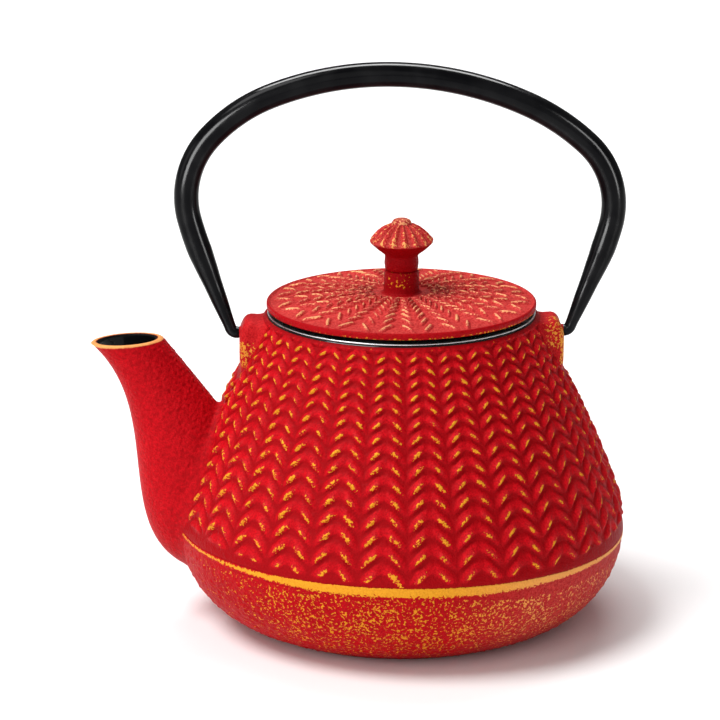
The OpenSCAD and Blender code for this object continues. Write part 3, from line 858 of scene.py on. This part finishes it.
# the lid sits on the strainer's flange
lidHigh = topCorner("lid")
rimHigh = topCorner("infuser_rim")
lid = {
    "radius": lidHigh[0], "seat": rimHigh[2], "bossTop": lidHigh[2], "boss": 5.9, "edge": rimHigh[2] + 3.5,
    "rise": 3.4, "skirt": 35.4, "skirtWall": 3.1, "skirtDrop": 5.4, "bore": 2.2, "vent": (20.8, 4.0, 1.5),
    "around": 648, "arms": 36, "firstArm": 0.4, "relief": 1.0, "lean": 57.0, "fillet": 1.1, "seed": 23,
    "rows": [39.3, 33.2, 28.3, 24.2, 20.6, 17.3, 14.2, 11.3], "grain": [(0.035, 2.6, 31), (0.02, 1.5, 32)],
    "greyPatch": ((-11.5, 1.5), (12.5, 0.5)),
}


# leaves in rings: each is a long oval, 1 - (along / length)^4 - (across / width)^2, that leans from its ring
# to the left and right by turns, with painted shade in a moat round it, deepest on its right, away from the
# key light
def lidLeaves(azimuth, radius):
    arm = (azimuth - math.radians(lid["firstArm"])) * lid["arms"] / tau
    number = np.round(arm)
    sideways = (arm - number) * tau / lid["arms"] * radius
    rows = lid["rows"]
    leaves, rub, paintedMoatShade = np.zeros(radius.shape), np.full(radius.shape, -1.0), np.zeros(radius.shape)
    dice = np.random.default_rng(lid["seed"]).uniform(-1, 1, (lid["arms"], len(rows)))
    cosine, sine = math.cos(math.radians(lid["lean"])), math.sin(math.radians(lid["lean"]))
    for row in range(len(rows)):
        for step in (-1, 0, 1):
            beside = sideways - step * tau / lid["arms"] * radius
            turn = np.where((number + step).astype(int) % 2 == 0, 1, -1)
            outward = radius - rows[row]
            along = sine * outward + turn * cosine * beside
            across = cosine * outward - turn * sine * beside
            length, width = 1.25 + 0.064 * rows[row], 0.30 + 0.013 * rows[row]
            oval = 1 - (along / length) ** 4 - (across / width) ** 2
            leaves = np.maximum(leaves, np.clip(oval, 0, None) ** 0.8)
            luck = dice[(number + step).astype(int) % lid["arms"], row]
            rub = np.maximum(rub, oval - 0.43 - 0.16 * luck + 0.012 * (rows[row] - 25))
            # painted shade: the side of each leaf away from the key light gets the darkest moat
            onRight = (cosine * np.sin(azimuth) - turn * sine * np.cos(azimuth)) * across > 0
            shade = np.where(onRight, 1.0, 0.25)
            paintedMoatShade = np.maximum(paintedMoatShade, shade * np.clip(1 - np.abs(oval + 0.5) / 0.9, 0, 1))
    return leaves, rub, paintedMoatShade * (leaves < 0.05)


# the lid: a shallow dome, edge + sqrt(dome^2 - radius^2) - sqrt(dome^2 - flat^2), on rings that lie closer
# towards the boss, so that the grid stays square; the underside is turned, with a skirt that locates it
def makeLid():
    r, edge, seat = lid["radius"], lid["edge"], lid["seat"]
    foot = lid["boss"] + lid["fillet"]
    azimuth = roundAngles(lid["around"])[None, :]
    flat = r - 0.7
    dome = (flat ** 2 + lid["rise"] ** 2) / (2 * lid["rise"])
    radius = np.exp(np.linspace(math.log(flat), math.log(foot), 122))[:, None]
    height = edge + np.sqrt(dome ** 2 - radius ** 2) - math.sqrt(dome ** 2 - flat ** 2)
    radius, azimuth, height = np.broadcast_arrays(radius, azimuth, height)
    leaves, rub, paintedMoatShade = lidLeaves(azimuth, radius)
    points = polar(radius, azimuth, height)
    relief = lid["relief"] * (leaves - 0.7) + castSkin(points, lid["grain"])
    top = polar(radius, azimuth, height + relief * smoothStep(flat, flat - 0.8, radius))
    topZ = float(height[-1, 0]) - lid["relief"] * 0.7
    under = edge + lid["rise"] - 3.3
    skirt, inside, low = lid["skirt"], lid["skirt"] - lid["skirtWall"], seat - lid["skirtDrop"]
    # underside from the bore out to the rim: the hollow, the skirt and the seat
    below = [[lid["bore"], under], [lid["boss"] + 1, under], [30.5, under - 1.6], [inside, under - 2.6],
             [inside, low + 0.5], [inside + 0.5, low], [skirt - 0.5, low], [skirt, low + 0.5], [skirt, seat],
             [41.5, seat], [42.5, seat + 1.3], [r - 0.6, seat + 1.3]]
    rolled = np.concatenate([arcPoints((r - 0.6, seat + 1.9), 0.6, -90, 0, 5),
                             arcPoints((r - 0.7, edge - 0.7), 0.7, 0, 80, 7)])
    fillet = arcPoints((foot, topZ + lid["fillet"]), lid["fillet"], 265, 185, 7)
    boss = [[lid["boss"] - 0.05, topZ + 3.2], [lid["boss"] - 0.15, lid["bossTop"] - 0.7],
            [lid["boss"] - 0.3, lid["bossTop"] - 0.3], [lid["boss"] - 0.8, lid["bossTop"]],
            [lid["bore"], lid["bossTop"]]]
    before = turned(np.concatenate([below, rolled]), lid["around"])
    after = turned(np.concatenate([fillet, boss]), lid["around"])
    rings = np.concatenate([before, top, after])
    pad = ((len(before), len(after)), (0, 0))
    rubFull = np.pad(rub, pad, constant_values=-1)
    # gold on the rolled edge, most at the front right
    facing = np.cos(roundAngles(lid["around"]) - math.radians(35))[None, :]
    rubFull[len(below):len(below) + 5] = 0.10 + 0.22 * facing
    x, y = rings[..., 0], rings[..., 1]
    # darker, greyer patches on the lid beside the knob
    greyPatch = np.zeros(rubFull.shape)
    for patchX, patchY in lid["greyPatch"]:
        greyPatch = np.maximum(greyPatch, smoothStep(6.5, 2.0, np.hypot((x - patchX) / 1.1, (y - patchY) / 1.6)))
    # the lid's top is paler all over and palest on the leaf crests: partly dust, partly painted sheen and
    # highlight; the moat is painted shade. The rolled edge and the fillet take a darker red and the boss the
    # darkest: painted shade on the edge and under the knob's cap
    pale = np.pad(0.55 + 0.45 * leaves - 0.5 * paintedMoatShade, pad)
    height = np.pad(0.48 + 0.5 * leaves - 0.48 * paintedMoatShade, pad, constant_values=0.22)
    height[-len(boss) - len(fillet) + 2:] = 0.0
    # flecks of gold on the front of the boss, black iron underneath
    flecks = np.zeros(rubFull.shape)
    flecks[-5:-1] = 0.5 * smoothStep(0.55, 0.9, np.cos(roundAngles(lid["around"]) + 0.2))
    bare = np.zeros(rubFull.shape)
    bare[:len(below)] = 1
    piece = ringPiece("lidCasting", rings, redIron, loop=True, fields={
        "height": height, "rub": rubFull, "bare": bare,
        "pale": pale, "greyPatch": greyPatch * 0.8, "speckle": flecks})
    drill(piece, (lid["vent"][0], lid["vent"][1], edge), (0, 0, 1), lid["vent"][2], 14, 32)
    return piece


lidCasting = makeLid()
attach(lidCasting, "lid")
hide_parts("lid")
print("lid made")


# the knob stands on the lid's boss
knobHigh = topCorner("lid_knob")
knob = {
    "cap": knobHigh[0], "foot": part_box("lid_knob")[0][2] / mm, "top": knobHigh[2], "ribs": 16,
    "firstRib": 0.06, "flute": 0.9, "around": 224, "grain": [(0.03, 2.0, 41)],
}


# turned stem and cap, the cap's dome scooped into flutes: a rib is a raised cosine to the power 1.2
def makeKnob():
    foot, capZ, cap = knob["foot"], knob["foot"] + 10, knob["cap"]
    stem = [[2.2, foot + 0.02], [4.6, foot + 0.02], [5.2, foot + 0.25], [5.45, foot + 0.7], [5.7, foot + 2.6],
            [5.55, foot + 4.2], [5.45, foot + 4.9], [5.7, foot + 5.5], [6.5, foot + 6.1], [8.2, foot + 7.4],
            [cap - 0.7, foot + 8.9]]
    rim = arcPoints((cap - 1.0, capZ), 1.0, -45, 50, 9)
    start = rim[-1]
    t = np.linspace(0, 1, 34)[1:, None]
    dome = bend(start, np.array([cap - 3.4, capZ + 4.6]), np.array([3.5, capZ + 5.6]), t)
    button = np.array([[3.25, knob["top"] - 1.6], [3.15, knob["top"] - 1.1], [2.7, knob["top"] - 0.5],
                       [1.9, knob["top"] - 0.15], [1.0, knob["top"]], [0.3, knob["top"]]])
    profile = np.concatenate([stem, rim, dome, button])
    rings = turned(profile, knob["around"])
    angle = roundAngles(knob["around"])[None, :]
    rib = (0.5 + 0.5 * np.cos(knob["ribs"] * (angle - knob["firstRib"]))) ** 1.2
    row = np.arange(len(profile))[:, None]
    domeStart = len(stem) + 2
    domeEnd = len(stem) + len(rim) + len(dome)
    depth = np.zeros(row.shape)
    depth[domeStart:domeEnd, 0] = np.sin(np.pi * np.linspace(0.06, 0.97, domeEnd - domeStart)) ** 0.6
    scoop = knob["flute"] * depth * (rib - 0.9)
    rough = castSkin(rings, knob["grain"]) * (profile[:, :1] > 3.4)
    outward = rings * [1, 1, 0] / np.maximum(np.linalg.norm(rings[..., :2], axis=-1, keepdims=True), 1e-6)
    rings = rings + (outward + [0, 0, 0.8]) * scoop[..., None] + outward * rough[..., None]
    fluted = depth > 0.1
    rub = np.where(fluted, 0.80 * rib - 0.62, -1.0) + 0.42 * np.exp(-((row - domeStart - 6) / 4.0) ** 2)
    rub[domeEnd:] = 0.28
    # the flutes take the dark red and the rib tops the lighter ridge red: painted shade and highlight; off the
    # dome, the stem and button take the darkest red, on the stem painted shade under the cap
    return ringPiece("lidKnob", rings, redIron, fields={
        "ragged": np.where(fluted, 0.8, 0.2), "height": np.where(depth > 0.05, 0.05 + 0.8 * rib, 0.0),
        "rub": rub, "pale": 0.55 * fluted + 0.85 * (row >= domeEnd)})


lidKnob = makeKnob()
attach(lidKnob, "lid")
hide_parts("lid_knob")
# these nodes keep their own shape and only get a finish
for nodeName, material in (("knob_screw", plated), ("knob_washer", plated), ("infuser_wall", wallMesh),
                           ("infuser_foot_ring", steel), ("infuser_floor", floorMesh)):
    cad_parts[nodeName].data.materials.clear()
    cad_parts[nodeName].data.materials.append(material)
print("knob made")


# the strainer's flange and collar
rim = {
    "flange": rimHigh[0], "top": rimHigh[2], "thick": 0.55, "collar": 37.4, "drop": 11.0, "bend": 0.9,
    "edge": 0.27, "around": 360,
}


# pressed flange with a rolled edge, turned down through a quarter circle into the collar
def makeFlange():
    top, bottom, out = rim["top"], rim["top"] - rim["thick"], rim["flange"]
    collar, inner = rim["collar"], rim["collar"] - rim["thick"]
    turnAt = (collar + rim["bend"], bottom - rim["bend"])
    profile = np.concatenate([
        [[inner, top - rim["drop"]], [collar, top - rim["drop"]]], arcPoints(turnAt, rim["bend"], 180, 90, 6),
        arcPoints((out - rim["edge"], (top + bottom) / 2), rim["edge"], -90, 90, 9),
        arcPoints(turnAt, 1.7, 90, 180, 8)])
    return ringPiece("strainerFlange", turned(profile, rim["around"]), steel, loop=True)


strainerFlange = makeFlange()
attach(strainerFlange, "infuser")
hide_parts("infuser_rim")
print("strainer made")


# the lamps that light the bail alone let it stay black and still show its gloss. A sun is [name, strength,
# degrees above the floor, degrees round, spread], a lamp is [name, place, size, watts].
studio = {
    "world": 0.24, "floorTone": 0.96,
    "suns": [
        ("keySun", 2.5, 60.0, -74.0, 30.0), ("frontSun", 1.0, 24.0, -24.0, 60.0),
        ("leftSun", 0.35, 12.0, -80.0, 25.0)],
    "lights": [("backLight", (-0.05, 0.75, 1.45), (1.3, 0.4), 12.0)],
    "bailLights": [
        ("bailTop", (0.0, 0.62, 1.6), (1.6, 0.5), 120.0), ("bailLeft", (-0.80, -1.0, -0.1), (0.5, 2.2), 190.0),
        ("bailRight", (0.95, -0.75, 0.1), (0.25, 1.8), 60.0)],
}
view = {"distance": 1.100, "azimuth": -2.3, "height": 0.3886, "pitch": 15.32, "turn": 0.716, "lens": 170.9}


def makeFloor():
    size = 6.0
    corners = np.array([[-1, -1, 0], [1, -1, 0], [1, 1, 0], [-1, 1, 0]]) * size
    mesh = bpy.data.meshes.new("floor")
    mesh.from_pydata(corners, [], [(0, 1, 2, 3)])
    r = Recipe("floorPaper")
    tone = studio["floorTone"]
    colour = r.mix(r.noise(40, 2), (tone, tone, tone, 1), (tone * 0.99, tone * 0.99, tone * 0.99, 1))
    mesh.materials.append(r.finish(Base_Color=colour, Roughness=0.9))
    floor = bpy.data.objects.new("floor", mesh)
    scene.collection.objects.link(floor)


def makeLights():
    world = bpy.data.worlds.new("studioWorld")
    world.use_nodes = True
    world.node_tree.nodes["Background"].inputs["Color"].default_value = (1, 1, 1, 1)
    world.node_tree.nodes["Background"].inputs["Strength"].default_value = studio["world"]
    scene.world = world
    for name, power, climb, turn, spread in studio["suns"]:
        sun = bpy.data.lights.new(name, "SUN")
        sun.energy, sun.angle = power, math.radians(spread)
        holder = bpy.data.objects.new(name, sun)
        holder.rotation_euler = (math.radians(90 - climb), 0, math.radians(turn))
        scene.collection.objects.link(holder)
    only = bpy.data.collections.new("bailOnly")
    only.objects.link(bailHandle)
    for name, place, size, power in studio["lights"] + studio["bailLights"]:
        lamp = bpy.data.lights.new(name, "AREA")
        lamp.shape, lamp.energy = "RECTANGLE", power
        lamp.size, lamp.size_y = size
        holder = bpy.data.objects.new(name, lamp)
        holder.location = place
        aim = np.array([0, 0, 0.12]) - np.array(place)
        holder.rotation_euler = (math.atan2(math.hypot(aim[0], aim[1]), -aim[2]), 0,
                                 math.atan2(aim[1], aim[0]) - math.pi / 2)
        scene.collection.objects.link(holder)
        if name.startswith("bail"):
            holder.light_linking.receiver_collection = only
            holder.light_linking.blocker_collection = only


def makeCamera():
    lens = bpy.data.cameras.new("camera")
    lens.lens, lens.sensor_width = view["lens"], 36
    camera = bpy.data.objects.new("camera", lens)
    around = math.radians(view["azimuth"])
    away = view["distance"]
    camera.location = (away * math.sin(around), -away * math.cos(around), view["height"])
    camera.rotation_euler = (math.radians(90 - view["pitch"]), 0, around + math.radians(view["turn"]))
    scene.collection.objects.link(camera)
    scene.camera = camera


makeFloor()
makeLights()
makeCamera()
scene.view_settings.view_transform = "Standard"
